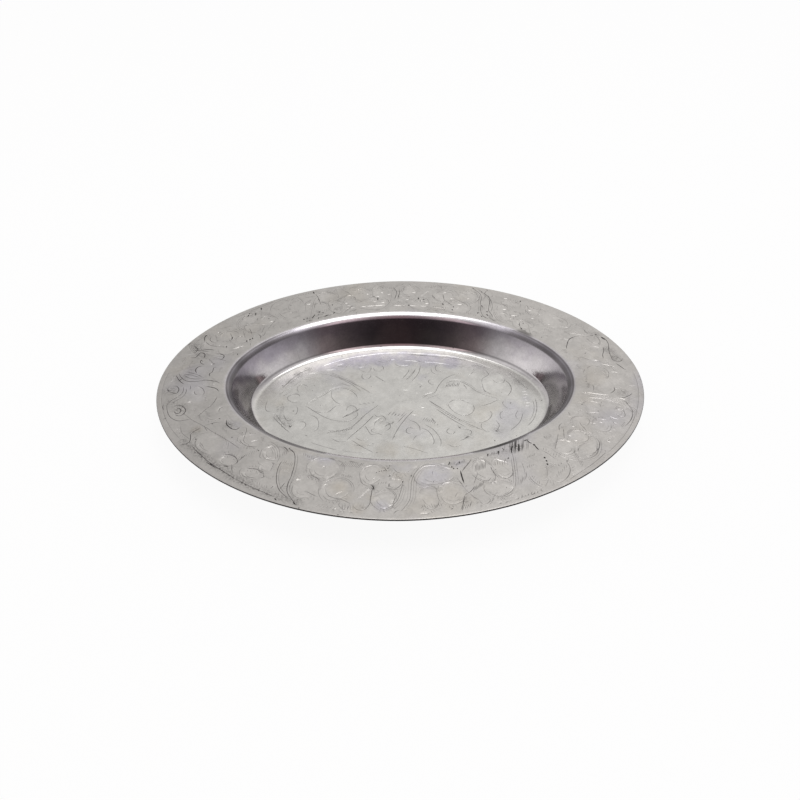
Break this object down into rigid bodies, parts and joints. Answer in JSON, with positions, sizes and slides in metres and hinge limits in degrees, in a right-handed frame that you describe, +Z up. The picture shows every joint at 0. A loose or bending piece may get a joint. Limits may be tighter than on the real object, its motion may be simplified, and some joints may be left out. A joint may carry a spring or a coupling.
{
  "type": "oval serving dish",
  "caption": "Shallow oval dish pressed from silver-coloured sheet metal, with a wide flat engraved rim, a rounded shoulder, a steep plain wall and a flat engraved floor, for serving small food.",
  "frame": {"origin": "under the middle of the floor, on the surface the dish stands on", "axes": "+X along the length, +Y across the width, +Z up"},
  "size_m": [0.17, 0.13, 0.0127],
  "materials": {
    "silvered_sheet": "satin and lightly tarnished on the engraved rim and floor, polished on the shoulder and wall"
  },
  "bodies": {
    "root": {"dish": "silvered_sheet"}
  },
  "joints": []
}
